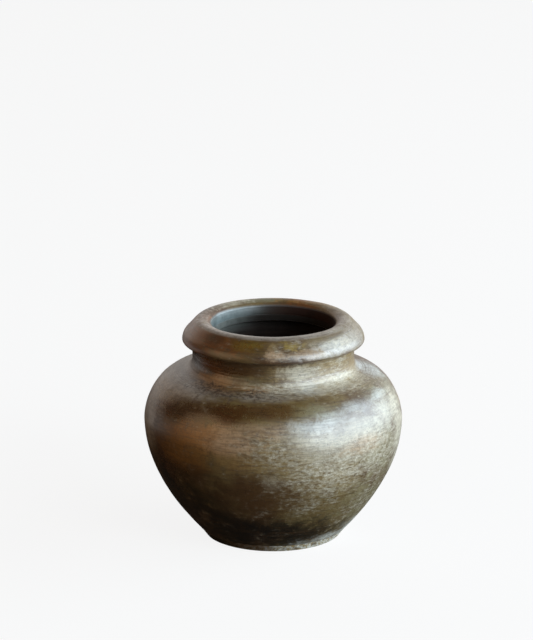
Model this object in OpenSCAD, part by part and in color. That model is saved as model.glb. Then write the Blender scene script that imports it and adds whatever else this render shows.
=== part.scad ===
// Squat wheel-thrown clay pot with a rolled rim, a flared neck and a small flat foot.
// It is built as a potter builds it: a base disc, two wall sections, a neck collar and a rim coil,
// luted together at keyed seams. All sizes are in millimetres.
// The origin is at the centre of the foot, on the ground, and +Z is up.

/* [Base disc] */
// Diameter of the base disc at the ground
foot_d = 111.4; // [102:0.2:118]
// Thickness of the base disc, which shows as the edge of the foot
base_t = 6; // [5:0.5:8]
// How far the disc's edge flares out between the ground and its top
base_flare = 4; // [3:0.2:5]
// Rounding of the disc's lower edge
base_edge_r = 0.8; // [0.4:0.1:1.6]
// Width of the flat ring that the pot rests on
rest_w = 13; // [9:1:18]
// Depth of the hollow pressed up inside that ring
base_hollow = 1; // [0.4:0.2:1.6]

/* [Walls] */
// Diameter of the pot at its widest
belly_d = 210; // [196:1:224]
// Height of the widest line above the ground
belly_h = 97; // [88:1:104]
// Diameter of the line where the shoulder meets the neck
shoulder_d = 143.4; // [140:0.2:148]
// Height of that line above the ground
shoulder_h = 138; // [130:1:146]
// Thickness of the walls at the belly and the shoulder
wall_t = 8; // [6:0.5:9]
// Thickness of the lower wall where it stands on the base disc
foot_wall_t = 10; // [8:0.5:12]
// Slope of the lower wall at the foot, measured from upright
foot_angle = 43.5; // [38:0.5:48]
// Slope of the shoulder where it meets the neck, measured from level
shoulder_angle = 1; // [0:0.5:6]
// Height of the finger ridges left inside the pot by throwing
ridge_h = 0.5; // [0.2:0.1:0.8]

/* [Neck collar] */
// Outside diameter of the neck at its narrowest
neck_d = 130.8; // [127:0.2:134]
// Outside diameter of the neck under the rim
neck_top_d = 133; // [130:0.5:137]
// Inside diameter of the neck
neck_bore_d = 111; // [108:0.5:114]
// Height of the neck, from the shoulder line to the underside of the rim
neck_h = 24.3; // [21:0.1:28]
// Height of the narrowest line above the shoulder line
waist_h = 11; // [9:0.5:13]
// Height of the small step where the collar's foot laps over the shoulder
collar_step = 0.7; // [0.4:0.1:1]
// Depth of the turning grooves round the collar's foot
groove_depth = 0.4; // [0.2:0.1:0.5]
// Distance of the outermost turning groove inwards from the shoulder line
groove_start = 1.3; // [1:0.1:1.8]
// Distance from one turning groove to the next, measured inwards
groove_pitch = 1.5; // [1.2:0.1:1.7]

/* [Rim coil] */
// Outside diameter of the rolled rim
rim_d = 147.4; // [143:0.2:152]
// Diameter of the mouth
mouth_d = 98; // [94:1:102]
// Height of the rim, from its underside to its top
rim_h = 18.2; // [17:0.1:21]
// Radius of the lip, over the mouth's edge
lip_r = 8.9; // [8:0.1:9.6]
// Radius of the outer roll
roll_r = 10; // [9.2:0.1:10.8]
// Height of the roll's widest line above its underside
roll_rise = 1.4; // [1:0.1:2.2]
// Rounding of the lower outside edge of the rim
rim_edge_r = 1; // [0.6:0.1:1.4]
// Height of the upright face inside the mouth
throat_h = 7.3; // [5:0.1:7.6]

/* [Seams] */
// Height of the tongue that keys one wall section into the other
wall_key_h = 5; // [3:0.5:7]
// Width of the neck's tongue inside the rim coil
rim_key_w = 4.6; // [3:0.2:6]
// Height of the neck's tongue inside the rim coil
rim_key_h = 5; // [3:0.5:7]

/* [Hidden] */
$fn = 180;

// How finely curves, arcs, edge roundings, grooves and finger ridges are stepped
curve_steps = 22;
arc_steps = 12;
edge_steps = 5;
groove_facets = 24;
ridge_steps = 6;
// Number of turning grooves, and of finger ridges inside each stretch of wall
turning_grooves = 3;
low_ridges = 9;
high_ridges = 4;
neck_ridges = 3;
// How far a cutting shape runs past the widest line
overrun = 20;

// Shares of a curve's own span, chosen by eye, that set how far its handles reach
foot_pull_share = 0.25;
belly_low_pull_share = 0.42;
belly_high_pull_share = 0.36;
shoulder_pull_share = 0.68;
fillet_pull_share = 0.5;
waist_pull_share = 0.55;
flare_pull_share = 0.5;
throat_pull_share = 0.6;
// Share of the wall's thickness, from the inside, that the wall's key takes
wall_key_share = 0.5;
// Share of the curve inside the neck's foot that belongs to the shoulder, up to the bevelled seam
bevel_share = 0.5;

foot_r = foot_d / 2;
base_top_r = foot_r + base_flare;
belly_r = belly_d / 2;
shoulder_r = shoulder_d / 2;
neck_r = neck_d / 2;
neck_top_r = neck_top_d / 2;
neck_bore_r = neck_bore_d / 2;
rim_r = rim_d / 2;
mouth_r = mouth_d / 2;
rim_base = shoulder_h + neck_h;
lip_z = rim_base + rim_h - lip_r;
roll_z = rim_base + roll_rise;

// Colours of the clay, as the fire left them
clay = "#4a3a22";
bare_clay = "#8d8676";
dark_clay = "#2b2013";
ochre_clay = "#6b5330";
rim_clay = "#5a4a2c";

// Points along a cubic curve, from p0 to p3, pulled towards p1 and p2.
function curve(p0, p1, p2, p3, steps = curve_steps) =
    [for (i = [0:steps]) let (t = i / steps, u = 1 - t)
        u * u * u * p0 + 3 * u * u * t * p1 + 3 * u * t * t * p2 + t * t * t * p3];

// Points along an arc round c, from angle a0 to a1.
function arc(c, r, a0, a1, steps = arc_steps) =
    [for (i = [0:steps]) let (a = a0 + (a1 - a0) * i / steps) c + r * [cos(a), sin(a)]];

// A direction of length one.
function unit(v) = v / norm(v);

// A line of points in the other order.
function backwards(points) = [for (i = [len(points) - 1:-1:0]) points[i]];

// A line of points without its first point, for a line that starts where another ends.
function after_first(points) = [for (i = [1:len(points) - 1]) points[i]];

// Direction square to a line of points at point i, to the left of its run.
function left_of(points, i) =
    let (d = unit(points[min(i + 1, len(points) - 1)] - points[max(i - 1, 0)])) [-d[1], d[0]];

// How far a run of finger ridges stands out at a share of its length: nothing at either end.
function ridge(count, share) = ridge_h * (1 - cos(360 * count * share)) / 2;

// The line that lies t0 inside a wall's outer points at their start and t1 inside at their end,
// with finger ridges that stand inwards.
function inside_of(points, t0, t1, ridges) =
    let (last = len(points) - 1)
    [for (i = [0:last]) points[i]
        + (t0 + (t1 - t0) * i / last + ridge(ridges, i / last)) * left_of(points, i)];

// Outer line of the lower wall, from the base disc up to the belly.
foot_edge = [base_top_r, base_t];
belly_edge = [belly_r, belly_h];
low_span = norm(belly_edge - foot_edge);
function low_line(steps) = curve(
    foot_edge,
    foot_edge + foot_pull_share * low_span * [sin(foot_angle), cos(foot_angle)],
    belly_edge - [0, belly_low_pull_share * (belly_h - base_t)],
    belly_edge, steps);

// Outer line of the shoulder, from the belly up to the neck.
shoulder_edge = [shoulder_r, shoulder_h];
shoulder_pull = shoulder_pull_share * (belly_r - shoulder_r);
function high_line(steps) = curve(
    belly_edge,
    belly_edge + [0, belly_high_pull_share * (shoulder_h - belly_h)],
    shoulder_edge + shoulder_pull * [cos(shoulder_angle), -sin(shoulder_angle)],
    shoulder_edge, steps);

// Outer line of the neck, from the collar's foot on the shoulder up to the rim.
collar_foot = shoulder_edge + [0, collar_step];
waist = [neck_r, shoulder_h + waist_h];
neck_top = [neck_top_r, rim_base];
flare = curve(
    collar_foot,
    collar_foot + flare_pull_share * [neck_r - shoulder_r, 0],
    waist - [0, waist_pull_share * (waist_h - collar_step)],
    waist);
collar = curve(
    waist,
    waist + [0, waist_pull_share * (neck_h - waist_h)],
    neck_top - [0, flare_pull_share * (neck_h - waist_h)],
    neck_top, arc_steps);

// Inner line of the walls, from the floor up to the shoulder, with a fillet at the floor.
low_inner = inside_of(low_line(low_ridges * ridge_steps), foot_wall_t, wall_t, low_ridges);
high_inner = inside_of(high_line(high_ridges * ridge_steps), wall_t, wall_t, high_ridges);
fillet_h = low_inner[0][1] - base_t;
floor_edge = [low_inner[0][0] - fillet_h, base_t];
fillet = curve(
    floor_edge,
    floor_edge + [fillet_pull_share * fillet_h, 0],
    low_inner[0] - fillet_pull_share * fillet_h * unit(low_inner[1] - low_inner[0]),
    low_inner[0], arc_steps);

// Inner line round the neck's foot, which the bevelled seam splits in two.
shoulder_under = high_inner[len(high_inner) - 1];
bore_edge = [neck_bore_r, shoulder_h + waist_h];
throat_run = curve(
    shoulder_under,
    shoulder_under - [throat_pull_share * (shoulder_under[0] - neck_bore_r), 0],
    bore_edge - [0, throat_pull_share * (bore_edge[1] - shoulder_under[1])],
    bore_edge, arc_steps);
bevel_step = round(bevel_share * arc_steps);
under_bevel = [for (i = [0:bevel_step]) throat_run[i]];
over_bevel = [for (i = [bevel_step:arc_steps]) throat_run[i]];

// Inner line of the neck, from the bore's lower end up to the rim, with finger ridges.
bore_steps = neck_ridges * ridge_steps;
bore_run = [for (i = [1:bore_steps]) let (share = i / bore_steps)
    bore_edge + [-ridge(neck_ridges, share), share * (rim_base - bore_edge[1])]];

// Section of both walls together, up to the bevelled seat of the neck collar.
module wall_section() {
    polygon(concat(
        low_line(curve_steps),
        after_first(high_line(curve_steps)),
        backwards(concat(
            fillet,
            after_first(low_inner),
            after_first(high_inner),
            after_first(under_bevel)))));
}

// Everything under the seam at the belly, whose inner share rises as a tongue.
module under_belly_seam() {
    key_r = belly_r - wall_t * (1 - wall_key_share);
    union() {
        square([belly_r + overrun, belly_h]);
        square([key_r, belly_h + wall_key_h]);
    }
}

// Base disc, hollowed a little inside its resting ring, with a flared edge.
module base_disc() {
    slope = atan(base_flare / base_t);
    edge_c = [foot_r - base_edge_r, base_edge_r];
    rest_in_r = foot_r - base_edge_r - rest_w;
    color(bare_clay)
    rotate_extrude()
        polygon(concat(
            [[0, base_hollow], [rest_in_r - rest_w, base_hollow], [rest_in_r, 0]],
            arc(edge_c, base_edge_r, -90, -slope),
            [[base_top_r, base_t], [0, base_t]]));
}

// Wall from the base disc up to the belly seam.
module lower_wall() {
    color(dark_clay)
    rotate_extrude()
        intersection() {
            wall_section();
            under_belly_seam();
        }
}

// Wall from the belly seam up to the neck.
module shoulder_wall() {
    color(clay)
    rotate_extrude()
        difference() {
            wall_section();
            under_belly_seam();
        }
}

// The tongue at the neck's top, which the rim coil is folded over.
module rim_key_section() {
    mid_r = (neck_bore_r + neck_top_r) / 2;
    translate([mid_r - rim_key_w / 2, rim_base - rim_key_h])
        square([rim_key_w, 2 * rim_key_h]);
}

// Turning grooves cut round the flared foot of the collar.
module turning_groove_section() {
    for (k = [0:turning_grooves - 1]) {
        r = shoulder_r - groove_start - k * groove_pitch;
        translate([r, lookup(r, flare)])
            circle(groove_depth, $fn = groove_facets);
    }
}

// Neck, with its flared foot on the bevelled seat and its tongue inside the rim.
module neck_collar() {
    color(ochre_clay)
    rotate_extrude()
        difference() {
            union() {
                polygon(concat(
                    [shoulder_edge],
                    flare,
                    after_first(collar),
                    backwards(concat(over_bevel, bore_run))));
                rim_key_section();
            }
            turning_groove_section();
        }
}

// Rim coil: a lip circle and a roll circle joined by their shared outer tangent.
module rim_coil() {
    lip_c = [mouth_r + lip_r, lip_z];
    roll_c = [rim_r - roll_r, roll_z];
    between = roll_c - lip_c;
    tangent = atan2(between[1], between[0]) + acos((lip_r - roll_r) / norm(between));
    edge_drop = roll_rise - rim_edge_r;
    edge_c = roll_c + [sqrt(pow(roll_r - rim_edge_r, 2) - pow(edge_drop, 2)), -edge_drop];
    edge_turn = -asin(edge_drop / (roll_r - rim_edge_r));
    color(rim_clay)
    rotate_extrude()
        difference() {
            polygon(concat(
                [[neck_bore_r, rim_base], [mouth_r, lip_z - throat_h]],
                arc(lip_c, lip_r, 180, tangent),
                arc(roll_c, roll_r, tangent, edge_turn),
                after_first(arc(edge_c, rim_edge_r, edge_turn, -90, edge_steps))));
            rim_key_section();
        }
}

base_disc();
lower_wall();
shoulder_wall();
neck_collar();
rim_coil();
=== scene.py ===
# A smoke-fired, burnished clay pot on a plain pale floor, lit by a cool window and a dim, warm room.
# Lengths are in metres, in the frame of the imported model: +Z is up and the photographed side faces -Y.
import math
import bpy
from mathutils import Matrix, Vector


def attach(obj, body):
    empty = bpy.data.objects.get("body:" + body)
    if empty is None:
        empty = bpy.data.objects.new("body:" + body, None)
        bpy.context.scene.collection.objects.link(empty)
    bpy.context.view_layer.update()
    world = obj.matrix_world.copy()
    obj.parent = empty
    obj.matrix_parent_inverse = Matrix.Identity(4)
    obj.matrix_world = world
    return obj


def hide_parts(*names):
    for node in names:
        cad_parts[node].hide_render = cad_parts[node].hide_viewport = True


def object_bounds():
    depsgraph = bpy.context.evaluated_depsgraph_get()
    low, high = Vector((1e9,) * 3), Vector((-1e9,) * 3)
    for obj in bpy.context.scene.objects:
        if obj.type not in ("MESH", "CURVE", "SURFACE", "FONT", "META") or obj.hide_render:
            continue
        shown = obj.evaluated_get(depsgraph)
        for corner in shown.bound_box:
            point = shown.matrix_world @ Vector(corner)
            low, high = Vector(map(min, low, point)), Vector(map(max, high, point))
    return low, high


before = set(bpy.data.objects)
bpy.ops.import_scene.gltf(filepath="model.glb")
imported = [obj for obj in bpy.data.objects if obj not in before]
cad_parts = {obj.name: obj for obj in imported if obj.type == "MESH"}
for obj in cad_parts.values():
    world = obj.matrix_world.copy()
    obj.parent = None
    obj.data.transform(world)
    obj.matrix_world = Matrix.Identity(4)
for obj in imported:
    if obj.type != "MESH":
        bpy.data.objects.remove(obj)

from types import SimpleNamespace

import bpy
import numpy as np
from mathutils import Vector

MM = 0.001
CAD_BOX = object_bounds()
BELLY_D = CAD_BOX[1].x - CAD_BOX[0].x
POT_H = CAD_BOX[1].z

# The nodes from the ground up: spacing of mesh rings outside, and elsewhere, and the material slot
PIECES = [
    ("base_disc", 1.0 * MM, 3.0 * MM, "foot_clay"),
    ("lower_wall", 1.2 * MM, 2.4 * MM, "burnished_clay"),
    ("shoulder_wall", 1.1 * MM, 2.4 * MM, "burnished_clay"),
    ("neck_collar", 0.6 * MM, 0.9 * MM, "burnished_clay"),
    ("rim_coil", 0.6 * MM, 1.6 * MM, "rim_clay"),
]
COLUMNS = 512


def placed(name, data):
    """A new object in the scene."""
    made = bpy.data.objects.new(name, data)
    bpy.context.scene.collection.objects.link(made)
    return made


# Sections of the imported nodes

SAME_PLACE = 0.02 * MM
TOUCHING = 0.05 * MM


def section(node):
    """A node's outline round the axis: its (radius, height) points in order, and whether it closes."""
    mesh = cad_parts[node].data
    places = np.empty(len(mesh.vertices) * 3)
    mesh.vertices.foreach_get("co", places)
    places = places.reshape(-1, 3)
    ends = np.empty(len(mesh.edges) * 2, np.int64)
    mesh.edges.foreach_get("vertices", ends)
    spots = np.column_stack([np.hypot(places[:, 0], places[:, 1]), places[:, 2]])
    keys, which = np.unique(np.round(spots / SAME_PLACE).astype(int), axis=0, return_inverse=True)
    near = (np.abs(keys[:, None] - keys[None]) <= 1).all(axis=2)
    which = near.argmax(axis=1)[which.ravel()]
    pairs = np.unique(np.sort(which[ends.reshape(-1, 2)], axis=1), axis=0)
    links = {}
    for a, b in pairs[pairs[:, 0] != pairs[:, 1]]:
        links.setdefault(a, []).append(b)
        links.setdefault(b, []).append(a)
    loose = [spot for spot in links if len(links[spot]) == 1]
    walk = [min(loose or links, key=lambda spot: keys[spot][1])]
    left = set(links) - set(walk)
    while onward := left.intersection(links[walk[-1]]):
        walk.append(min(onward, key=lambda spot: np.hypot(*(keys[spot] - keys[walk[-1]]))))
        left.remove(walk[-1])
    assert not left, node
    points = keys[walk] * SAME_PLACE
    if loose:
        points = np.vstack([[0, points[0, 1]], points, [0, points[-1, 1]]])
    return points, not loose


def started(points, start):
    """A closed section as a line from its point nearest to start, outward or upward first, and back."""
    at = np.hypot(*(points - start).T).argmin()
    points = np.roll(points, -at, axis=0)
    if points[-1].sum() > points[1].sum():
        points = np.roll(points[::-1], 1, axis=0)
    return np.vstack([points, points[:1]])


def on_points(points, others):
    """Which points lie on a point of another section."""
    return np.hypot(*(points[:, None] - others[None]).transpose(2, 0, 1)).min(1) < TOUCHING


def on_outline(points, section_points, closed):
    """Which points lie on another section's outline."""
    outline = np.vstack([section_points, section_points[:1]]) if closed else section_points
    a, b = outline[:-1], outline[1:]
    run = b - a
    share = ((points[:, None] - a) * run).sum(2) / np.maximum((run ** 2).sum(1), 1e-16)
    foot = a + np.clip(share, 0, 1)[:, :, None] * run
    return np.sqrt(((points[:, None] - foot) ** 2).sum(2)).min(1) < TOUCHING


# Smooth lines through the sections' points

FINE = 0.1 * MM
ROUNDING_PASSES = 16
CORNER = math.radians(24)
MOST_TURN = math.radians(12)


def lengths(points):
    return np.hypot(*np.diff(points, axis=0).T)


def turns(points):
    """The angle that a line of points turns through at each inner point."""
    way = np.arctan2(*np.diff(points, axis=0).T[::-1])
    return np.abs((np.diff(way) + np.pi) % (2 * np.pi) - np.pi)


def out_of(line):
    """Unit normals of a line of points, to the right of its run: away from the clay."""
    run = np.gradient(line, axis=0)
    run /= np.maximum(np.hypot(*run.T), 1e-12)[:, None]
    return np.column_stack([run[:, 1], -run[:, 0]])


def smooth_part(points):
    """Closely spaced points on a smooth curve through a part of a section that has no corner."""
    if len(points) < 3:
        steps = max(int(lengths(points)[0] / FINE), 1)
        return points[0] + (points[1] - points[0]) * np.linspace(0, 1, steps + 1)[:, None]
    gap = lengths(points)[:, None]
    slope = np.diff(points, axis=0) / gap
    inner = (slope[1:] * gap[:-1] + slope[:-1] * gap[1:]) / (gap[:-1] + gap[1:])
    slopes = np.vstack([2 * slope[:1] - inner[:1], inner, 2 * slope[-1:] - inner[-1:]])
    made = [points[:1]]
    for i in range(len(gap)):
        steps = max(int(gap[i, 0] / FINE), 1)
        t = np.arange(1, steps + 1)[:, None] / steps
        made.append(
            (1 + 2 * t) * (1 - t) ** 2 * points[i] + t * (1 - t) ** 2 * gap[i] * slopes[i]
            + t ** 2 * (3 - 2 * t) * points[i + 1] + t ** 2 * (t - 1) * gap[i] * slopes[i + 1]
        )
    return np.vstack(made)


def refined(points, step):
    """A stretch between two kept corners, curved where the section is, with its own corners softly rounded.

    Its points are spaced by step, or closer where it bends."""
    cuts = [0, *(np.flatnonzero(turns(points) > CORNER) + 1), len(points) - 1]
    parts = [smooth_part(points[a : b + 1]) for a, b in zip(cuts[:-1], cuts[1:])]
    line = np.vstack([parts[0], *(part[1:] for part in parts[1:])])
    for _ in range(ROUNDING_PASSES):
        line[1:-1] += 0.5 * ((line[:-2] + line[2:]) / 2 - line[1:-1])
    turned, run = np.append(turns(line), 0), lengths(line)
    kept, since, bent = [0], 0.0, 0.0
    for i in range(1, len(line) - 1):
        since += run[i - 1]
        bent += turned[i - 1]
        if since >= step or bent >= MOST_TURN:
            kept.append(i)
            since, bent = 0.0, 0.0
    return line[[*kept, len(line) - 1]]


# Profiles: what each piece is swept from, from its lower outer edge up the outside and back inside

def profile(points, closed, beside, outer_step, inner_step, before):
    """A piece's rings as (radius, height), and what belongs to each of them.

    outs are their outward normals. works is 0 where the clay touches a neighbour and 1 where it is worked.
    along is the distance up the pot's surface, from before. sharp lists the rings on kept corners. The
    first outer_count rings are the stretch up the outside, which is outer_run long."""
    shared = np.zeros(len(points), bool)
    for other, _ in beside:
        shared |= on_points(points, other)
    shared[[0, -1]] = True
    corners = np.flatnonzero(shared)
    rings, outs, works, sharp = [], [], [], []
    for first, last in zip(corners[:-1], corners[1:]):
        line = refined(points[first : last + 1], outer_step if first == 0 else inner_step)
        out = out_of(line)
        work = np.full(len(line), 0.0 if last - first == 1 else 1.0)
        for other, other_closed in beside:
            work[1:-1][on_outline(line[1:-1], other, other_closed)] = 0
        if rings:
            sharp.append(sum(map(len, rings)) - 1)
            if work[0] > works[-1][-1]:
                works[-1][-1], outs[-1][-1] = work[0], out[0]
            line, work, out = line[1:], work[1:], out[1:]
        elif closed:
            sharp.append(0)
        rings.append(line)
        outs.append(out)
        works.append(work)
    outer = rings[0]
    rings, outs, works = np.vstack(rings), np.vstack(outs), np.concatenate(works)
    along = before + np.concatenate([[0], np.cumsum(lengths(rings))])
    if closed:
        rings, outs, works, along = rings[:-1], outs[:-1], works[:-1], along[:-1]
    return SimpleNamespace(
        rings=rings, outs=outs, works=works, along=along, sharp=sharp, closed=closed,
        smears=np.zeros_like(rings), outer_count=len(outer), outer_run=lengths(outer).sum(),
    )


def bump(offset, half_width):
    return np.exp(-((offset / half_width) ** 2))


SMEAR_REACH = 2.6 * MM
COLLAR_FOOT = 139.2 * MM
SMEAR_HALF_HEIGHT = 4.8 * MM


def smeared(line):
    """How far slip moves each ring: as if the line were blurred, near the collar's foot alone."""
    along = np.concatenate([[0], np.cumsum(lengths(line))])
    weight = np.exp(-(((along[:, None] - along) / SMEAR_REACH) ** 2) / 2)
    weight *= np.gradient(along)
    blurred = weight @ line / weight.sum(1)[:, None]
    return (blurred - line) * bump(line[:, 1] - COLLAR_FOOT, SMEAR_HALF_HEIGHT)[:, None]


def profiles():
    """Each piece's profile, with the slip that was smeared over the collar's foot."""
    sections = [section(node) for node, *_ in PIECES]
    made, start, before = [], None, 0.0
    for i, (_, outer_step, inner_step, _) in enumerate(PIECES):
        points, closed = sections[i]
        beside = [sections[j] for j in (i - 1, i + 1) if 0 <= j < len(PIECES)]
        if closed:
            points = started(points, start)
        made.append(profile(points, closed, beside, outer_step, inner_step, before))
        start = made[-1].rings[made[-1].outer_count - 1] if i + 1 < len(PIECES) else None
        before += made[-1].outer_run
    below_rim, rim = made[:-1], made[-1]
    outer = np.vstack([piece.rings[: piece.outer_count] for piece in below_rim])
    moves = smeared(outer)
    facing = out_of(outer + moves)
    first = 0
    for piece in below_rim:
        last = first + piece.outer_count
        piece.smears[: piece.outer_count] = moves[first:last]
        piece.outs[: piece.outer_count] = facing[first:last]
        first = last
    below_rim[-1].works[below_rim[-1].outer_count - 1] = 0.0
    rim.works[0] = 0.0
    return {node: piece for (node, *_), piece in zip(PIECES, made)}


# The clay's surface as it was worked

LATTICE = np.array([374761393, 668265263, 2147483647])
LOW_31_BITS = 0x7FFFFFFF


def hashed(cells, seed):
    """A fixed, even scatter of values from -1 to 1, one for each cell of a lattice."""
    mixed = (cells * LATTICE).sum(-1) + seed * 1274126177
    mixed = (mixed ^ (mixed >> 13)) * 1103515245 & LOW_31_BITS
    mixed = (mixed ^ (mixed >> 16)) * 69069 & LOW_31_BITS
    return mixed / (LOW_31_BITS // 2) - 1.0


def noise(points, size, seed):
    """Smooth noise from -1 to 1 whose lumps are about size across. size may differ along x, y and z."""
    scaled = points / np.asarray(size)
    cells = np.floor(scaled).astype(np.int64)
    part = scaled - cells
    part = part * part * (3 - 2 * part)
    total = 0.0
    for corner in np.ndindex(2, 2, 2):
        weight = np.prod(np.where(corner, part, 1 - part), axis=-1)
        total = total + weight * hashed(cells + np.array(corner), seed)
    return total


# Blows and chips: (turn from the front in degrees, height, radius of the hollow, depth)
CHIPS = [
    (18, 164.5 * MM, 2.6 * MM, 0.35 * MM),
    (74, 178.0 * MM, 4.0 * MM, 0.40 * MM),
    (151, 166.0 * MM, 3.6 * MM, 0.60 * MM),
    (-128, 174.0 * MM, 3.0 * MM, 0.50 * MM),
    (33, 3.5 * MM, 4.2 * MM, 0.60 * MM),
    (-14, 2.0 * MM, 3.0 * MM, 0.45 * MM),
    (97, 4.0 * MM, 5.0 * MM, 0.70 * MM),
    (-160, 3.0 * MM, 4.4 * MM, 0.60 * MM),
    (-37, 29.0 * MM, 3.4 * MM, 0.30 * MM),
    (12, 71.0 * MM, 3.0 * MM, 0.22 * MM),
    (48, 62.0 * MM, 4.5 * MM, 0.25 * MM),
    (-171, 84.0 * MM, 5.0 * MM, 0.30 * MM),
    (122, 108.0 * MM, 4.0 * MM, 0.28 * MM),
]


# The crease that a finger left round the upright face inside the mouth, with a ridge under it
CREASE_HEIGHT, CREASE_HALF_WIDTH, CREASE_DEPTH = 169.4 * MM, 0.6 * MM, 0.75 * MM
CREASE_SWAY = 0.5 * MM
RIDGE_DROP, RIDGE_HALF_WIDTH = 2.2 * MM, 1.0 * MM
THROAT_RADIUS, THROAT_FROM = 54 * MM, 160 * MM

# How far rings of the turning and dents of the hand stand off the true form, and how wide they are
RINGS = [(1.7 * MM, 70 * MM, 0.05 * MM, 3), (4.6 * MM, 90 * MM, 0.09 * MM, 5)]
DENTS = [(22 * MM, 0.16 * MM, 11), (9 * MM, 0.06 * MM, 12)]

# The outward part of a normal above which a ring is outside, and the upward part above which a ring of the
# disc is the floor inside
FACES_OUT, FACES_UP = -0.1, 0.9
# The slip was smeared least near the front: the angle from +X and the half width of that stretch
LEAST_SMEARED, LEAST_HALF_WIDTH = math.radians(273), math.radians(16)


def worked(places, turned, outside):
    """How far the worked surface stands off the true one, at places on the pot. Chips are outside alone."""
    x, y, z = (places[..., i] for i in range(3))
    stand = 0.0
    for along, around, depth, seed in RINGS:
        stand = stand + noise(turned, (around, around, along), seed) * depth
    stand = stand * (0.6 + 0.4 * noise(places, 45 * MM, 8))
    stand = stand + sum(noise(places, size, seed) * depth for size, depth, seed in DENTS)
    ragged = 1 + 0.35 * noise(places, 1.8 * MM, 21)
    for turn, height, radius, depth in CHIPS:
        angle = math.radians(turn - 90)
        across = y * math.cos(angle) - x * math.sin(angle)
        front = x * math.cos(angle) + y * math.sin(angle) > 0
        off = np.hypot(across, z - height) / (radius * ragged)
        stand -= np.where(front & outside, depth * np.clip(1 - off ** 2, 0, 1), 0)
    above = z - CREASE_HEIGHT - CREASE_SWAY * noise(places, (30 * MM, 30 * MM, 400 * MM), 41)
    crease = CREASE_DEPTH * bump(above, CREASE_HALF_WIDTH) * (0.8 + 0.5 * noise(places, 24 * MM, 43))
    ridge = 0.3 * CREASE_DEPTH * bump(above + RIDGE_DROP, RIDGE_HALF_WIDTH) * noise(places, 18 * MM, 42)
    in_throat = (np.hypot(x, y) < THROAT_RADIUS) & (z > THROAT_FROM)
    return stand - np.where(in_throat, crease - ridge, 0)


def wobble(places):
    """How much wider the hand-thrown pot is than a true round, as a share of its radius."""
    return noise(places, (95 * MM, 95 * MM, 70 * MM), 31) * 0.0035


# Pieces swept from their profiles

def swept(piece, body):
    """Where the worked rings lie, and where they lie on the pot's surface unrolled, by ring and column."""
    angle = np.arange(COLUMNS) * 2 * math.pi / COLUMNS
    way = np.column_stack([np.cos(angle), np.sin(angle)])
    r, z = piece.rings[body, :1], piece.rings[body, 1:]
    out_r, out_z = piece.outs[body, :1], piece.outs[body, 1:]
    smear_r, smear_z = piece.smears[body, :1], piece.smears[body, 1:]
    true = np.empty((len(body), COLUMNS, 3))
    true[:, :, :2] = r[:, :, None] * way
    true[:, :, 2] = z
    turned = true.copy()
    turned[:, :, 2] = piece.along[body, None]
    stand = worked(true, turned, out_r > FACES_OUT) * (piece.works[body, None] * (z >= TOUCHING))
    least = sum(bump(angle - LEAST_SMEARED + lap, LEAST_HALF_WIDTH) for lap in (2 * math.pi, 0))
    smear = 1.0 - 0.5 * least + 0.3 * noise(true, 26 * MM, 51)
    radius = (r + stand * out_r + smear * smear_r) * (1 + wobble(true))
    places = np.empty_like(true)
    places[:, :, :2] = radius[:, :, None] * way
    places[:, :, 2] = np.maximum(z + stand * out_z + smear * smear_z, 0)
    return places.reshape(-1, 3), turned.reshape(-1, 3)


def bands(ring_count, closed):
    """Faces between neighbouring rings, and between the last and the first where the profile closes."""
    here = np.arange(COLUMNS)
    beside = (here + 1) % COLUMNS
    quads = []
    for i in range(ring_count if closed else ring_count - 1):
        a, b = i * COLUMNS, (i + 1) % ring_count * COLUMNS
        quads.append(np.column_stack([a + here, a + beside, b + beside, b + here]))
    return np.vstack(quads).tolist()


def end_fans(ring_count):
    """Faces from the first ring and from the last to two points on the axis, which follow the rings' own."""
    here = np.arange(COLUMNS)
    beside = (here + 1) % COLUMNS
    last, tip = (ring_count - 1) * COLUMNS, ring_count * COLUMNS
    low = np.column_stack([beside, here, np.full(COLUMNS, tip)])
    high = np.column_stack([np.full(COLUMNS, tip + 1), last + here, last + beside])
    return low.tolist() + high.tolist()


def revolve(node, piece, outer_clay, inner_clay, inside_from):
    """A piece swept round the axis from its profile, with its clays, standing for its node."""
    body = np.arange(len(piece.rings)) if piece.closed else np.arange(1, len(piece.rings) - 1)
    places, turned = swept(piece, body)
    faces = bands(len(body), piece.closed)
    if piece.closed:
        inward = np.clip(-piece.outs[body, 0], 0, 1)
        inside = np.repeat(inward, COLUMNS)
    else:
        inward = np.where(piece.outs[body, 1] > FACES_UP, 1.0, 0.0)
        poles = [0, len(piece.rings) - 1]
        places = np.vstack([places, *([[0, 0, piece.rings[pole, 1]]] for pole in poles)])
        turned = np.vstack([turned, *([[0, 0, piece.along[pole]]] for pole in poles)])
        inside = np.concatenate([np.repeat(inward, COLUMNS), inward[[0, -1]]])
        faces += end_fans(len(body))

    mesh = bpy.data.meshes.new(node + "_clay")
    mesh.from_pydata(places, [], faces)
    mesh.polygons.foreach_set("use_smooth", np.ones(len(mesh.polygons), bool))
    mesh.attributes.new("turned", "FLOAT_VECTOR", "POINT").data.foreach_set("vector", turned.ravel())
    mesh.attributes.new("inside", "FLOAT", "POINT").data.foreach_set("value", inside)
    mesh.materials.append(outer_clay)
    mesh.materials.append(inner_clay)
    opposite = np.array([(face[0], face[2]) for face in faces])
    within = (inside[opposite] > inside_from).all(axis=1)
    mesh.polygons.foreach_set("material_index", within.astype(np.int32))
    ends = np.empty(len(mesh.edges) * 2, np.int64)
    mesh.edges.foreach_get("vertices", ends)
    rows = ends.reshape(-1, 2) // COLUMNS + body[0]
    on_corner = (rows[:, 0] == rows[:, 1]) & np.isin(rows[:, 0], piece.sharp)
    mesh.attributes.new("sharp_edge", "BOOLEAN", "EDGE").data.foreach_set("value", on_corner)
    mesh.update()
    made = placed(node + "_clay", mesh)
    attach(made, "root")
    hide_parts(node)


# Materials

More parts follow.
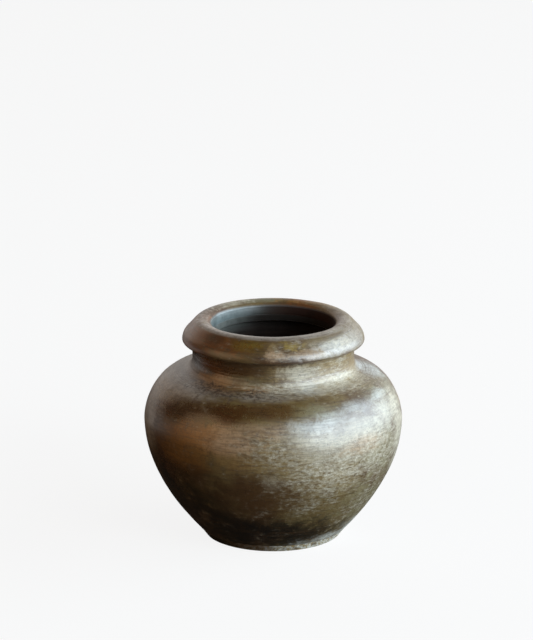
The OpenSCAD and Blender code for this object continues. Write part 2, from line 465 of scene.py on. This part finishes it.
def seen(red, green, blue):
    """A colour as a screen shows it, each part from 0 to 255, in the scale that shaders take."""
    parts = [part / 255 for part in (red, green, blue)]
    return (*(part / 12.92 if part <= 0.04045 else ((part + 0.055) / 1.055) ** 2.4 for part in parts), 1)


SOOT = seen(15, 9, 5)
UMBER = seen(82, 53, 22)
# Dark brown for a band round the shoulder: smoke, and painted shade where the burnished band mirrors the dim
# room
SMOKE_AND_SHADE_BROWN = seen(74, 37, 3)
OLIVE = seen(118, 98, 58)
EARTH = seen(158, 133, 88)
# Orange and gold; on the left belly they also paint a warm reflection of the room's light
ORANGE = seen(176, 114, 48)
GOLD = seen(158, 112, 52)
TAN = seen(184, 138, 92)
ROSY = seen(188, 156, 124)
# Violet-grey; on the left shoulder and edge it paints a reflection of light from behind, and on the crest a
# highlight
VIOLET = seen(170, 160, 150)
ASH = seen(220, 210, 188)
# A pale, cool tone that paints the window's highlight on the clay
PAINTED_HIGHLIGHT = seen(222, 226, 224)
MUSTARD = seen(118, 94, 34)
RUSSET = seen(132, 76, 30)
OCHRE = seen(164, 138, 62)
LICHEN = seen(138, 130, 102)
CHAR = seen(40, 31, 30)
BARE = seen(224, 222, 212)
# The soot inside, window light painted pale at the left: upright face left to right, below it left to right,
# further down
FACE_PAINTED_LIGHT, FACE_MIDDLE, FACE_RIGHT = seen(112, 122, 122), seen(40, 30, 22), seen(44, 20, 9)
NECK_PAINTED_LIGHT, NECK_RIGHT = seen(98, 101, 97), seen(26, 18, 12)
SHOULDER_SOOT, FLOOR_SOOT = seen(34, 19, 12), seen(118, 97, 72)

# Where the edge of a patch lies, as a share of its half width and height
PATCH_REACH = 0.85


class Nodes:
    """The shader nodes of a material or world. Each method adds nodes and gives back an output."""

    def __init__(self, owner):
        owner.use_nodes = True
        self.tree = owner.node_tree

    def node(self, kind, inputs=(), **settings):
        made = self.tree.nodes.new(kind)
        for name, value in settings.items():
            setattr(made, name, value)
        for socket, value in dict(inputs).items():
            if isinstance(value, bpy.types.NodeSocket):
                self.tree.links.new(value, made.inputs[socket])
            else:
                made.inputs[socket].default_value = value
        return made

    def value(self, kind, a, b=0.0):
        return self.node("ShaderNodeMath", {0: a, 1: b}, operation=kind).outputs[0]

    def vector(self, kind, a, b):
        return self.node("ShaderNodeVectorMath", {0: a, 1: b}, operation=kind).outputs[0]

    def product(self, *parts):
        made = parts[0]
        for part in parts[1:]:
            made = self.value("MULTIPLY", made, part)
        return made

    def total(self, base, *products):
        """The base and each product of the factors given for it, added up."""
        for factors in products:
            base = self.value("ADD", base, self.product(*factors))
        return base

    def axis(self, at, i):
        return self.node("ShaderNodeSeparateXYZ", {0: at}).outputs[i]

    def ramp(self, value, low, high, kind="LINEAR"):
        """From 0 at low to 1 at high, and no further."""
        inputs = {"Value": value, 1: low, 2: high}
        return self.node("ShaderNodeMapRange", inputs, interpolation_type=kind).outputs[0]

    def rise(self, value, low, high):
        """A smooth step from 0 at low to 1 at high."""
        return self.ramp(value, low, high, "SMOOTHSTEP")

    def mix(self, share, under, over):
        """Two shaders mixed."""
        return self.node("ShaderNodeMixShader", {0: share, 1: under, 2: over}).outputs[0]

    def for_rays(self, kind, shown, otherwise):
        """A shader that is one thing to one kind of ray and another to every other ray."""
        return self.mix(self.node("ShaderNodeLightPath").outputs[kind], otherwise, shown)

    def shade(self, kind, **inputs):
        """A shader of one kind, with its inputs by name."""
        return self.node("ShaderNode" + kind, inputs).outputs[0]


class Surface(Nodes):
    """A clay being built.

    where is a place on it, round the same place on the surface unrolled, and inside how far it faces in."""

    def __init__(self, name):
        self.material = bpy.data.materials.new(name)
        super().__init__(self.material)
        self.shader = self.tree.nodes["Principled BSDF"]
        self.where = self.node("ShaderNodeTexCoord").outputs["Object"]
        self.round = self.node("ShaderNodeAttribute", attribute_name="turned").outputs["Vector"]
        self.inside = self.node("ShaderNodeAttribute", attribute_name="inside").outputs["Fac"]

    def noise(self, at, per_metre, detail=2.0, roughness=0.5, seed=0.0):
        """Cloudy noise from 0 to 1, mostly near a half. per_metre may differ round the pot and along it."""
        if isinstance(per_metre, tuple):
            around, along = per_metre
            at = self.vector("MULTIPLY", at, (around, around, along))
            per_metre = 1.0
        at = self.vector("ADD", at, (seed, seed * 0.7, seed * 1.3))
        inputs = {"Vector": at, "Scale": per_metre, "Detail": detail, "Roughness": roughness}
        return self.node("ShaderNodeTexNoise", inputs).outputs["Fac"]

    def swing(self, noise):
        """A noise about 0 instead of a half."""
        return self.value("SUBTRACT", noise, 0.5)

    def blend(self, share, under, over):
        """Two colours mixed."""
        return self.node("ShaderNodeMix", {0: share, 6: under, 7: over}, data_type="RGBA").outputs[2]

    def veiled(self, colour, *veils):
        """A colour under veils, each of a noise, where it starts and is full, a strength and a tone."""
        for noise, low, high, strength, tone in veils:
            colour = self.blend(self.product(self.rise(noise, low, high), strength), colour, tone)
        return colour

    def level(self, low, high):
        """How far up the pot a place is, from 0 at low to 1 at high, both in mm."""
        return self.rise(self.axis(self.where, 2), low * MM, high * MM)

    def across(self, left, right):
        """How far to the right a place is, from 0 at left to 1 at right, both in mm from the axis."""
        return self.rise(self.axis(self.where, 0), left * MM, right * MM)

    def patch(self, turn, height, wide, high, edge, fade):
        """1 in a patch and 0 off it. turn is in degrees from the front. edge makes its outline ragged."""
        angle = math.radians(turn - 90)
        radius = outer_radius(height * MM)
        centre = (radius * math.cos(angle), radius * math.sin(angle), height * MM)
        off = self.vector("SUBTRACT", self.where, centre)
        off = self.vector("DIVIDE", off, (wide * MM, wide * MM, high * MM))
        reach = self.node("ShaderNodeVectorMath", {0: off}, operation="LENGTH").outputs["Value"]
        return self.rise(self.value("ADD", reach, edge), PATCH_REACH + fade / 2, PATCH_REACH - fade / 2)

    def stained(self, colour, stains, edge, fade, *shares):
        """A colour under stains, of which the shares let a part through."""
        for turn, height, wide, high, tone, strength in stains:
            share = self.product(self.patch(turn, height, wide, high, edge, fade), *shares, strength)
            colour = self.blend(share, colour, tone)
        return colour

    def most(self, patches, edge, fade):
        """The strongest of several patches at each place."""
        made = 0.0
        for turn, height, wide, high, strength in patches:
            share = self.product(self.patch(turn, height, wide, high, edge, fade), strength)
            made = self.value("MAXIMUM", share, made)
        return made

    def finished(self, colour, rough, relief, strength, depth, constants):
        """The material, once its outputs are linked and its constants are on the shader's own sockets."""
        inputs = {"Height": relief, "Strength": strength, "Distance": depth}
        normal = self.node("ShaderNodeBump", inputs).outputs[0]
        for socket, output in (("Base Color", colour), ("Roughness", rough), ("Normal", normal)):
            self.tree.links.new(output, self.shader.inputs[socket])
        for socket, constant in constants.items():
            self.shader.inputs[socket].default_value = constant
        return self.material


def outer_radius(height):
    """The pot's radius outside, at a height."""
    line = np.vstack([piece.rings[piece.outs[:, 0] > 0.2] for piece in PROFILES.values() if piece.closed])
    line = line[np.argsort(line[:, 1])]
    return float(np.interp(height, line[:, 1], line[:, 0]))


# Stains that the fire and use left, and among them, as marked, painted highlights, reflections and shade:
# turn from the front in degrees, height in mm, half width and half height in mm, colour, strength
STAINS_AND_PAINTED_LIGHT = [
    (24, 84, 60, 30, EARTH, 0.5),
    (-6, 94, 40, 18, EARTH, 0.65),
    (38, 94, 34, 8, ASH, 0.35),
    (16, 97, 14, 7, ASH, 0.3),
    (-1, 74, 9, 8, ASH, 0.3),
    (14, 70, 15, 11, UMBER, 0.25),
    (56, 92, 34, 28, LICHEN, 0.6),
    (60, 44, 36, 34, LICHEN, 0.6),
    # The gold and orange patch on the left belly: a stain, and partly a painted reflection of the warm
    # room's light
    (-48, 100, 30, 18, GOLD, 0.6),
    (-34, 107, 32, 11, ORANGE, 0.75),
    (-44, 89, 26, 14, GOLD, 0.75),
    (-18, 104, 24, 9, ROSY, 0.9),
    (-18, 91, 18, 9, GOLD, 0.3),
    (-8, 115, 30, 7, ROSY, 0.6),
    (42, 98, 26, 8, ROSY, 0.7),
    # Violet-grey on the left shoulder and down the left edge: a painted reflection of light from behind at
    # the left
    (-78, 127, 30, 16, VIOLET, 0.8),
    (-80, 106, 18, 18, VIOLET, 0.4),
    (-74, 95, 16, 18, VIOLET, 0.8),
    (-62, 119, 14, 9, RUSSET, 0.4),
    # Violet-grey on the left shoulder: a painted reflection of light from behind at the left
    (-50, 135, 30, 6.5, VIOLET, 0.95),
    (-8, 136.4, 30, 2.8, VIOLET, 0.7),
    # A dark brown band round the shoulder: smoke, and painted shade where the burnished clay mirrors the dim
    # room
    (-56, 120, 18, 6.5, SMOKE_AND_SHADE_BROWN, 0.5),
    (-43, 122.5, 20, 7, SMOKE_AND_SHADE_BROWN, 0.75),
    (-28, 126, 32, 7, SMOKE_AND_SHADE_BROWN, 0.95),
    (-3, 129.5, 23, 6, UMBER, 0.9),
    (22, 127.5, 16, 6.5, LICHEN, 0.8),
    (76, 122, 34, 22, LICHEN, 0.7),
    # Pale ash and a painted highlight where the window shines on the right shoulder and the collar's foot
    (62, 139, 26, 3.5, ASH, 0.4),
    (66, 128, 14, 4, PAINTED_HIGHLIGHT, 0.5),
    (62, 136, 14, 2.6, OLIVE, 0.7),
    (92, 136.5, 18, 8, PAINTED_HIGHLIGHT, 0.8),
    (26, 139.8, 18, 3.2, PAINTED_HIGHLIGHT, 0.9),
    # Pale ash and a painted highlight where the window shines on the belly
    (36, 112, 34, 9, ASH, 0.4),
    (18, 117, 20, 6, PAINTED_HIGHLIGHT, 0.5),
    (30, 121, 18, 6, PAINTED_HIGHLIGHT, 0.35),
    (46, 126, 16, 5, PAINTED_HIGHLIGHT, 0.35),
    # Painted shade where the window's reflection on the shoulder ends
    (69, 121, 12, 6, UMBER, 0.7),
    # Pale ash, and a painted reflection along the right edge
    (78, 92, 20, 32, ASH, 0.75),
    (66, 17, 18, 8, BARE, 0.7),
    (12, 52, 22, 10, UMBER, 0.35),
    # Pale ash and a painted highlight at the ends of the window's highlight on the belly
    (14, 110, 18, 6, ASH, 0.4),
    (68, 115, 26, 12, ASH, 0.5),
    (56, 131, 16, 5, LICHEN, 0.4),
    (26, 103, 24, 6, ASH, 0.45),
    (-40, 142, 24, 5, TAN, 0.85),
    (-18, 140.5, 20, 3, TAN, 0.7),
    (-20, 144.5, 16, 4.5, LICHEN, 0.6),
    (-78, 152, 20, 9, SOOT, 0.7),
    (-46, 153, 20, 6, RUSSET, 0.7),
    (-24, 155, 26, 6, UMBER, 0.8),
    (44, 150, 50, 14, EARTH, 0.9),
    (16, 151, 26, 8, EARTH, 0.7),
    # A painted highlight: a pale stripe on the neck
    (18, 151.5, 17, 7, ASH, 0.95),
    (118, 108, 46, 20, ORANGE, 0.7),
    (176, 88, 60, 34, EARTH, 0.7),
    (-132, 116, 44, 18, VIOLET, 0.7),
    (-150, 60, 40, 22, ROSY, 0.5),
    # Next four: smoke blackening low on the left and front, which also paints the shade away from the window
    (-60, 42, 60, 38, SOOT, 0.95),
    (-18, 22, 52, 20, SOOT, 0.95),
    (-8, 58, 32, 21, UMBER, 0.85),
    (10, 17, 50, 14, SOOT, 0.9),
    (54, 8.5, 36, 6, BARE, 0.9),
    (112, 34, 50, 24, SOOT, 0.85),
    (-165, 22, 60, 18, SOOT, 0.8),
]
# Where pale ash and wear lie, in the same terms, without a colour
WORN = [
    (27, 81, 52, 31, 0.8),
    (54, 90, 40, 32, 0.8),
    (60, 38, 40, 36, 0.4),
    (20, 50, 30, 18, 0.4),
    (2, 99, 36, 18, 0.55),
    (-70, 124, 30, 16, 0.4),
    (10, 141, 46, 5, 0.8),
    (52, 140, 40, 7, 1.0),
    (30, 104, 26, 8, 0.8),
    (44, 153, 34, 9, 0.6),
    (80, 120, 40, 24, 0.45),
    (172, 92, 60, 36, 0.7),
    (-128, 100, 44, 30, 0.5),
]
# Where dark crumbs of burnt clay stick, in the same terms
CRUMBS = [
    (-46, 137.2, 30, 3.0, 0.9),
    (-68, 128, 28, 15, 0.4),
    (-10, 137.0, 36, 2.8, 0.9),
    (140, 128, 50, 12, 0.5),
]
# Where the clay was rubbed smoother and kept its smoke, in the same terms
POLISHED = [
    (-50, 122, 36, 10, 1.0),
    (-22, 125, 32, 10, 1.0),
    (6, 129.5, 30, 6, 0.8),
    (-50, 152, 36, 9, 1.0),
    (-58, 66, 44, 40, 0.7),
    (160, 60, 60, 40, 0.6),
]
RIM_STAINS_AND_HIGHLIGHT = [
    (0, 175, 60, 8, OLIVE, 0.5),
    (-78, 171, 46, 14, RUSSET, 0.95),
    (-36, 174, 26, 7, RUSSET, 0.95),
    (-44, 176, 12, 4, SOOT, 0.5),
    (-19, 175.5, 19, 4.5, MUSTARD, 0.8),
    (13, 175.5, 12, 4.5, OCHRE, 0.8),
    (0, 174, 5, 6, EARTH, 0.8),
    (2, 169.5, 9, 5, ROSY, 0.9),
    (24, 169, 22, 4, ROSY, 0.5),
    (60, 172, 40, 12, VIOLET, 0.7),
    # A painted highlight on the rim's right, in a pale, cool tone
    (42, 172.5, 14, 4.5, PAINTED_HIGHLIGHT, 0.3),
    (46, 177.8, 24, 4.0, OLIVE, 0.95),
    (50, 178.3, 14, 2.5, UMBER, 0.4),
    (150, 172, 34, 10, RUSSET, 0.8),
    (-160, 174, 24, 8, MUSTARD, 0.5),
]
RIM_WORN = [
    (50, 171.5, 34, 5, 0.8),
    (6, 168.5, 22, 4.5, 0.45),
    (120, 172, 40, 12, 0.5),
]
RIM_POLISHED = [
    (-50, 172, 44, 12, 0.4),
    (-19, 175.5, 19, 5, 0.7),
]
# Stains on the crest of the rim, behind and beside the mouth, and a painted highlight along its top at the
# front
CREST_STAINS_AND_HIGHLIGHT = [
    # A pale violet band along the crest's top at the front: a painted highlight
    (0, 180, 90, 9, VIOLET, 0.8),
    (-172, 180, 22, 7, LICHEN, 0.9),
    (168, 180, 12, 7, MUSTARD, 0.5),
    (150, 180, 24, 7, ORANGE, 0.5),
    (128, 180, 24, 7, EARTH, 0.6),
    (-140, 180, 22, 7, ASH, 0.5),
    (74, 180, 34, 8, ASH, 0.2),
]
FOOT_STAINS_AND_SHADE = [
    # The first two: smoke, and painted shade at the left and front of the foot, away from the window
    (-66, 5, 46, 14, SOOT, 0.95),
    (-18, 5, 22, 14, UMBER, 0.8),
    (150, 5, 40, 14, SOOT, 0.7),
]

# Heights in mm between which one look of the clay gives way to another
CREST = 178.2, 179.6
LINES_FROM, LINES_TO = (134, 137), (158, 155)
FACE_FOOT, DULL_UNDER = (170.0, 168.6), (170.5, 168)
SHOULDER_INSIDE, FLOOR_INSIDE = (164, 150), (120, 60)
# Places across the mouth in mm, from left to right, between which the soot's painted window light fades, or
# the soot dulls
FACE_DARKENS, FACE_BROWNS, NECK_DARKENS, FACE_DULLS = (-44, 0), (-12, 22), (-46, -8), (-16, 16)

# How far inward the clay faces where its soot and painted window light begin and where they are full
BODY_SOOTED, RIM_SOOTED = (0.0, 0.1), (0.70, 0.88)

PATCH_FADE, WORN_FADE = 0.8, 1.3
RELIEF = 0.7, 0.2 * MM
FOOT_RELIEF = 0.8, 0.5 * MM


def soot_and_painted_light(skin, lumps, mottle):
    """The sooted inside's colour, with window light painted cool and pale at the left, brown at the right,
    and its dullness.
    """
    face = skin.blend(skin.across(*FACE_DARKENS), FACE_PAINTED_LIGHT, FACE_MIDDLE)
    face = skin.blend(skin.across(*FACE_BROWNS), face, FACE_RIGHT)
    deep = skin.blend(skin.across(*NECK_DARKENS), NECK_PAINTED_LIGHT, NECK_RIGHT)
    deep = skin.blend(skin.level(*SHOULDER_INSIDE), deep, SHOULDER_SOOT)
    deep = skin.blend(skin.level(*FLOOR_INSIDE), deep, FLOOR_SOOT)
    ragged_foot = skin.total(skin.level(*FACE_FOOT), (skin.swing(mottle), 1.2))
    soot_and_window_light = skin.blend(skin.rise(ragged_foot, 0.2, 0.8), face, deep)
    soot_and_window_light = skin.veiled(soot_and_window_light, (lumps, 0.4, 0.7, 0.5, SOOT))
    return soot_and_window_light, skin.value("MAXIMUM", skin.level(*DULL_UNDER), skin.across(*FACE_DULLS))


def shared_noises(skin):
    """The lumps, mottle and turned streaks that the clay has outside and inside."""
    lumps = skin.noise(skin.where, 60, 4, 0.6, seed=3)
    mottle = skin.noise(skin.where, 240, 6, 0.7, seed=5)
    streaks = skin.noise(skin.round, (60, 860), 4, 0.65, seed=7)
    return lumps, mottle, streaks


def sooted_clay_with_painted_light():
    """The clay of the inside, which is sooted and dulled, with window light painted on it at the left."""
    skin = Surface("sooted_clay_with_painted_light")
    lumps, mottle, streaks = shared_noises(skin)
    colour, dull = soot_and_painted_light(skin, lumps, mottle)
    rough = skin.total(0.38, (mottle, 0.16), (dull, 0.5))
    relief = skin.total(0.0, (mottle, 0.5), (streaks, 0.35))
    return skin.finished(colour, rough, relief, *RELIEF, {"IOR": 1.7, "Specular IOR Level": 0.25})


def smoked_clay(name, stains, worn, polished, crumbs=(), on_rim=False):
    """Dark clay that was smoked in the fire, burnished round and round, and worn pale in places."""
    skin = Surface(name)
    lumps, mottle, streaks = shared_noises(skin)
    clouds = skin.noise(skin.where, 15, 3, 0.55)
    dashes = skin.noise(skin.round, (210, 560), 4, 0.7, seed=9)
    grain = skin.noise(skin.where, 460, 4, 0.6, seed=15)
    brushed = skin.noise(skin.round, (30, 380), 5, 0.65, seed=21)
    flecks = skin.rise(skin.noise(skin.where, 900, 2, 0.5, seed=17), 0.4, 0.6)
    pits = skin.rise(skin.noise(skin.where, 520, 2, 0.5, seed=11), 0.66, 0.76)
    lines = skin.rise(skin.noise(skin.round, (9, 900), 2, 0.5, seed=19), 0.38, 0.62)
    lines = skin.product(lines, skin.level(*LINES_FROM), skin.level(*LINES_TO))

    coarse, fine, fade = (1.4, 2.8, 0.7) if on_rim else (2.0, 2.0, 1.0)
    edge = skin.total(0.0, (skin.swing(lumps), coarse), (skin.swing(mottle), fine))
    broken = skin.total(0.72, (skin.rise(mottle, 0.36, 0.56), 0.3))
    colour = skin.blend(skin.rise(clouds, 0.4, 0.62), UMBER, OLIVE)
    colour = skin.stained(colour, stains, edge, fade, broken)
    if on_rim:
        colour = skin.stained(colour, CREST_STAINS_AND_HIGHLIGHT, edge, PATCH_FADE, skin.level(*CREST))
    if crumbs:
        crumbly = skin.rise(skin.noise(skin.where, 360, 5, 0.62, seed=13), 0.44, 0.58)
        colour = skin.blend(skin.product(crumbly, skin.most(crumbs, edge, PATCH_FADE), 0.95), colour, CHAR)
    colour = skin.veiled(
        colour,
        (lumps, 0.5, 0.72, 0.45, UMBER),
        (grain, 0.5, 0.66, 0.35, UMBER),
        (streaks, 0.5, 0.66, 0.36, SOOT),
        (brushed, 0.48, 0.64, 0.4, UMBER),
    )
    colour = skin.blend(skin.product(lines, 0.3), colour, UMBER)

    soft_edge = skin.product(edge, 0.5)
    wear = skin.most(worn, soft_edge, WORN_FADE)
    rubbed = skin.most(polished, soft_edge, WORN_FADE)
    scratches = (dashes, 0.38), (mottle, 0.24), (brushed, 0.14), (lumps, 0.24), (wear, 0.15)
    scratched = skin.rise(skin.total(0.0, *scratches), 0.52, 0.75)
    pale = skin.product(scratched, skin.total(0.7, (flecks, 0.3)), skin.total(1.0, (rubbed, -0.8)))
    colour = skin.blend(skin.product(pale, 0.95), colour, ASH)
    colour = skin.blend(skin.product(pits, 0.6), colour, SOOT)

    # The inside faces take the soot with the window's light painted on it at the left
    soot_and_window_light, dull = soot_and_painted_light(skin, lumps, mottle)
    inner = skin.rise(skin.inside, *(RIM_SOOTED if on_rim else BODY_SOOTED))
    colour = skin.blend(inner, colour, soot_and_window_light)
    rough = skin.total(0.33, (mottle, 0.16), (pale, 0.2), (rubbed, -0.19), (inner, dull, 0.55))
    relief = skin.total(0.0, (mottle, 0.5), (streaks, 0.35), (dashes, 0.3), (pits, -0.5), (lines, -0.6))
    return skin.finished(colour, rough, relief, *RELIEF, {"IOR": 1.7, "Specular IOR Level": 0.85})


def foot_clay():
    """The bare, pale grey clay of the foot, dirtied by use."""
    skin = Surface("foot_clay")
    lumps = skin.noise(skin.where, 90, 4, 0.6, seed=2)
    mottle = skin.noise(skin.where, 420, 3, 0.65, seed=4)
    colour = skin.blend(skin.rise(mottle, 0.35, 0.65), EARTH, BARE)
    colour = skin.stained(colour, FOOT_STAINS_AND_SHADE, skin.swing(lumps), PATCH_FADE)
    colour = skin.veiled(colour, (lumps, 0.54, 0.7, 0.8, UMBER), (skin.inside, 0.4, 0.6, 1.0, SOOT))
    rough = skin.total(0.6, (mottle, 0.3))
    relief = skin.total(0.0, (mottle, 0.6), (lumps, 0.8))
    return skin.finished(colour, rough, relief, *FOOT_RELIEF, {"Specular IOR Level": 0.4})


# The pot

# How far inward faces look that have the sooted clay with painted window light, by slot
SOOTED_FROM = {"foot_clay": 0.5, "burnished_clay": BODY_SOOTED[1], "rim_clay": RIM_SOOTED[1]}
PROFILES = profiles()
CLAYS = {
    "foot_clay": foot_clay(),
    "burnished_clay": smoked_clay("burnished_clay", STAINS_AND_PAINTED_LIGHT, WORN, POLISHED, CRUMBS),
    "rim_clay": smoked_clay("rim_clay", RIM_STAINS_AND_HIGHLIGHT, RIM_WORN, RIM_POLISHED, on_rim=True),
}
SOOTED_WITH_PAINTED_LIGHT = sooted_clay_with_painted_light()
for node, _, _, slot_name in PIECES:
    revolve(node, PROFILES[node], CLAYS[slot_name], SOOTED_WITH_PAINTED_LIGHT, SOOTED_FROM[slot_name])


# Camera, as far from the pot as 14 of its widths and tilted as the photograph's perspective asks

PHOTO_W, PHOTO_H = 533, 640
BELLY_PX = 257.8
AXIS_PX, MIDDLE_PX = 273.3, 424.1
CAMERA_TILT = math.radians(17.5)
WIDTHS_AWAY = 13.964
PER_PIXEL = BELLY_D / BELLY_PX
SIGHT = 50.0


def make_camera():
    data = bpy.data.cameras.new("camera")
    camera = placed("camera", data)
    bpy.context.scene.camera = camera
    away = WIDTHS_AWAY * BELLY_D
    back = Vector((0, -math.cos(CAMERA_TILT), math.sin(CAMERA_TILT)))
    up = Vector((0, math.sin(CAMERA_TILT), math.cos(CAMERA_TILT)))
    middle = Vector((0, 0, POT_H / 2))
    camera.location = middle + back * away
    aim = middle + Vector((1, 0, 0)) * (PHOTO_W / 2 - AXIS_PX) * PER_PIXEL
    aim += up * (MIDDLE_PX - PHOTO_H / 2) * PER_PIXEL
    camera.rotation_mode = "QUATERNION"
    camera.rotation_quaternion = (aim - camera.location).to_track_quat("-Z", "Y")
    data.sensor_fit = "AUTO"
    data.lens = data.sensor_width * away / (PHOTO_H * PER_PIXEL)
    data.clip_end = SIGHT


# Floor, as a camera sees it and as the burnished clay mirrors it

FLOOR_HALF = 14.0
FLOOR_WHITE, FLOOR_PALE, FLOOR_GREY = (1, 1, 1, 1), seen(243, 243, 243), seen(100, 94, 86)
# What share of its brightness, as a camera sees it, stays out of the lamps' reach
EVEN_SHARE = 0.87
# The clay mirrors a dim floor, but one painted bright behind the pot, on both sides of a painted shadow
# strip along this line
PAINTED_SHADOW_LINE, BESIDE, BEHIND = -0.17, (0.14, 0.28), (0.1, 0.45)
DIM_MIRRORED, BRIGHT_MIRRORED = ((1.0, 0.78, 0.58, 1), 0.02), ((1.0, 0.96, 0.92, 1), 0.5)


def make_floor():
    mesh = bpy.data.meshes.new("floor")
    corners = [(-FLOOR_HALF, -FLOOR_HALF, 0), (FLOOR_HALF, -FLOOR_HALF, 0)]
    corners += [(FLOOR_HALF, FLOOR_HALF, 0), (-FLOOR_HALF, FLOOR_HALF, 0)]
    mesh.from_pydata(corners, [], [(0, 1, 2, 3)])
    floor = placed("floor", mesh)
    material = bpy.data.materials.new("floor")
    nodes = Nodes(material)
    nodes.tree.nodes.remove(nodes.tree.nodes["Principled BSDF"])
    pale, grey = (nodes.shade("BsdfDiffuse", Color=colour) for colour in (FLOOR_PALE, FLOOR_GREY))
    shown = nodes.mix(EVEN_SHARE, pale, nodes.shade("Emission", Color=FLOOR_WHITE))
    where = nodes.node("ShaderNodeTexCoord").outputs["Object"]
    aside = nodes.value("ABSOLUTE", nodes.value("SUBTRACT", nodes.axis(where, 0), PAINTED_SHADOW_LINE))
    behind = nodes.product(nodes.ramp(aside, *BESIDE), nodes.ramp(nodes.axis(where, 1), *BEHIND))
    dim, bright = (
        nodes.shade("Emission", Color=colour, Strength=strength)
        for colour, strength in (DIM_MIRRORED, BRIGHT_MIRRORED)
    )
    unseen = nodes.for_rays("Is Glossy Ray", nodes.mix(behind, dim, bright), grey)
    mixed = nodes.for_rays("Is Camera Ray", shown, unseen)
    nodes.tree.links.new(mixed, nodes.tree.nodes["Material Output"].inputs["Surface"])
    mesh.materials.append(material)


# Light

# Suns: name, turn from the front, rise above the floor and spread in degrees, strength, colour
SUNS = [
    ("front_window", 40, 21, 34, 1.4, (0.8, 0.93, 1.0)),
    ("warm_room", -66, 15, 48, 0.43, (1.0, 0.65, 0.37)),
    ("back_room", -136, 24, 30, 0.08, (1.0, 0.72, 0.5)),
]
# A long, low bank of cool light to the right of the pot, from in front of it to behind it
WINDOW_SIZE, WINDOW_PLACE = (4.6, 1.8), (2.5, -0.55, 0.95)
WINDOW_WATTS, WINDOW_COLOUR = 158, (0.76, 0.9, 1.0)
# A dim, warm room, a pale backdrop round this turn from the front, and the white that a camera sees
ROOM, BACKDROP = ((1.0, 0.75, 0.5, 1), 0.055), ((1.0, 0.95, 0.9, 1), 1.1)
BACKDROP_TURN, BACKDROP_SPREAD = math.radians(178), (0.5, 1.0)
BACKGROUND = (0.94, 0.94, 0.94, 1)


def make_sun(name, turn, rise, spread, strength, colour):
    data = bpy.data.lights.new(name, "SUN")
    data.angle = math.radians(spread)
    data.energy = strength
    data.color = colour
    lamp = placed(name, data)
    angle, up = math.radians(turn - 90), math.radians(rise)
    towards = Vector((math.cos(angle) * math.cos(up), math.sin(angle) * math.cos(up), math.sin(up)))
    lamp.rotation_mode = "QUATERNION"
    lamp.rotation_quaternion = towards.to_track_quat("Z", "Y")


def make_window():
    data = bpy.data.lights.new("window", "AREA")
    data.shape = "RECTANGLE"
    data.size, data.size_y = WINDOW_SIZE
    data.energy = WINDOW_WATTS
    data.color = WINDOW_COLOUR
    lamp = placed("window", data)
    lamp.location = WINDOW_PLACE
    lamp.rotation_mode = "QUATERNION"
    lamp.rotation_quaternion = Vector((-1, 0, 0)).to_track_quat("-Z", "Y")


def make_world():
    world = bpy.data.worlds.new("world")
    bpy.context.scene.world = world
    nodes = Nodes(world)
    room = nodes.tree.nodes["Background"]
    room.inputs["Color"].default_value, room.inputs["Strength"].default_value = ROOM
    backdrop = nodes.shade("Background", Color=BACKDROP[0], Strength=BACKDROP[1])
    angle = BACKDROP_TURN - math.pi / 2
    way = nodes.node("ShaderNodeTexCoord").outputs["Generated"]
    inputs = {0: way, 1: (math.cos(angle), math.sin(angle), 0)}
    facing = nodes.node("ShaderNodeVectorMath", inputs, operation="DOT_PRODUCT").outputs["Value"]
    lit = nodes.mix(nodes.rise(facing, *BACKDROP_SPREAD), room.outputs[0], backdrop)
    mixed = nodes.for_rays("Is Camera Ray", nodes.shade("Background", Color=BACKGROUND), lit)
    nodes.tree.links.new(mixed, nodes.tree.nodes["World Output"].inputs["Surface"])


make_camera()
make_floor()
make_window()
for sun in SUNS:
    make_sun(*sun)
make_world()
bpy.context.scene.view_settings.view_transform = "Standard"
